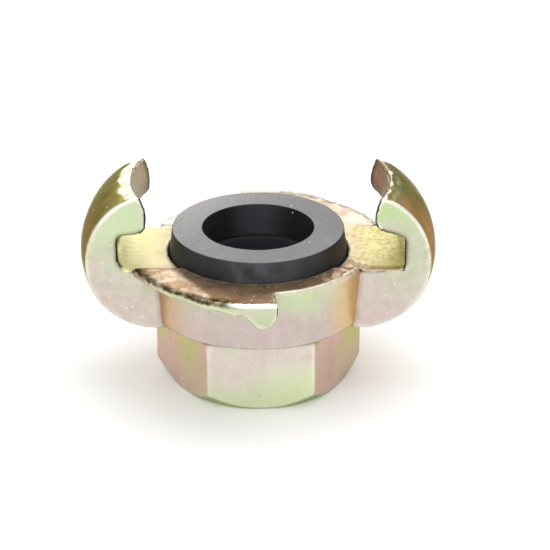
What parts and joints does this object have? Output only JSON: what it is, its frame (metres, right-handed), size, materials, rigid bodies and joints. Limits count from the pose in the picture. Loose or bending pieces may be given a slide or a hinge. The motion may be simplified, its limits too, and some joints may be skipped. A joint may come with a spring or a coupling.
{
  "type": "quick disconnect coupler",
  "caption": "Half of a claw coupling for compressed-air hose: cast body with hooked claws, slotted flange, hexagon with internal thread, and a rubber face seal.",
  "frame": {"origin": "centre of the hexagon's end face, which is the bottom of the part", "axes": "+Z along the bore towards the claws and the seal, +X through the middle of one claw"},
  "size_m": [0.0706, 0.0556, 0.0424],
  "materials": {
    "chromated_casting": "zinc plated, yellow iridescent chromate",
    "seal_rubber": "matte moulded"
  },
  "bodies": {
    "coupling": {"coupling_body": "chromated_casting"},
    "seal": {"seal_ring": "seal_rubber"}
  },
  "joints": [
    {"name": "seal_lift", "type": "slide", "parent": "coupling", "child": "seal", "axis": [0, 0, 1], "range_m": [0, 0.02]}
  ]
}
